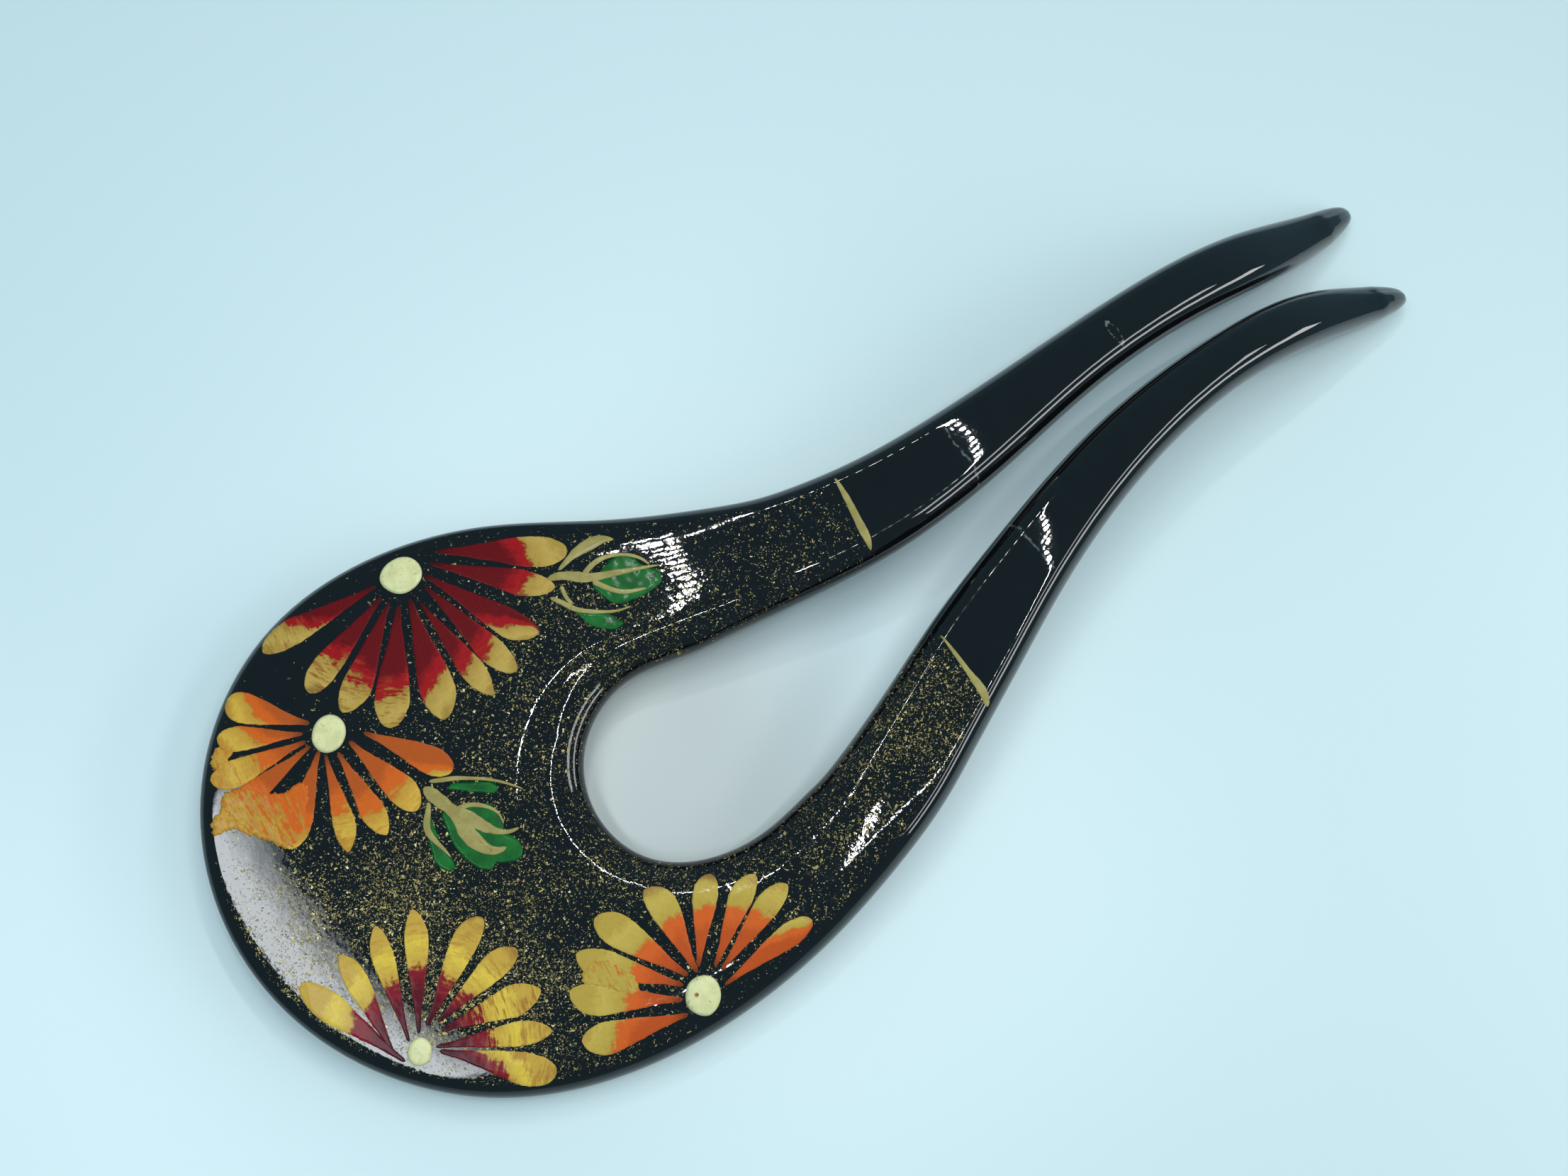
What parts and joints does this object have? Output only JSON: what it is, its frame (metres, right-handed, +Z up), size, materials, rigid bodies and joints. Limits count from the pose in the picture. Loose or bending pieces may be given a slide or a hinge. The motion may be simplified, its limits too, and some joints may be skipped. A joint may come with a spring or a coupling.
{
  "type": "two-prong hairpin",
  "caption": "Black lacquered wooden hair fork with a round head, a teardrop opening, curved prongs and raised painted chrysanthemums.",
  "frame": {"origin": "middle of the footprint, on the surface that the hairpin lies on", "axes": "+X from the round head to the prong tips, +Y across the head, +Z up out of the painted face"},
  "size_m": [0.1364, 0.0518, 0.0114],
  "materials": {
    "black_lacquer": "deep black gloss lacquer over wood, gold flakes sprinkled on the head and the roots of the prongs",
    "red_gold_paint": "dark red paint turning to gold at the petal tips, fine brush wrinkles",
    "orange_gold_paint": "orange paint turning to yellow gold at the petal tips",
    "maroon_gold_paint": "maroon paint turning to bright gold at the petal tips",
    "amber_gold_paint": "orange paint turning to khaki gold at the petal tips",
    "cream_paint": "thick pale cream dabs, slightly uneven",
    "green_paint": "deep green paint",
    "gold_line_paint": "khaki gold brush lines"
  },
  "bodies": {
    "root": {"body": "black_lacquer", "petals_red": "red_gold_paint", "petals_orange": "orange_gold_paint", "petals_maroon": "maroon_gold_paint", "petals_amber": "amber_gold_paint", "dab_red": "cream_paint", "dab_orange": "cream_paint", "dab_maroon": "cream_paint", "dab_amber": "cream_paint", "leaf_near_prong": "green_paint", "leaf_by_opening": "green_paint", "leaf_lobed": "green_paint", "leaf_narrow": "green_paint", "leaf_short": "green_paint", "stem_near_prong": "gold_line_paint", "stroke_near_prong": "gold_line_paint", "stem_by_opening": "gold_line_paint", "stem_lobed": "gold_line_paint", "stem_short": "gold_line_paint", "band_upper": "gold_line_paint", "band_lower": "gold_line_paint"}
  },
  "joints": []
}
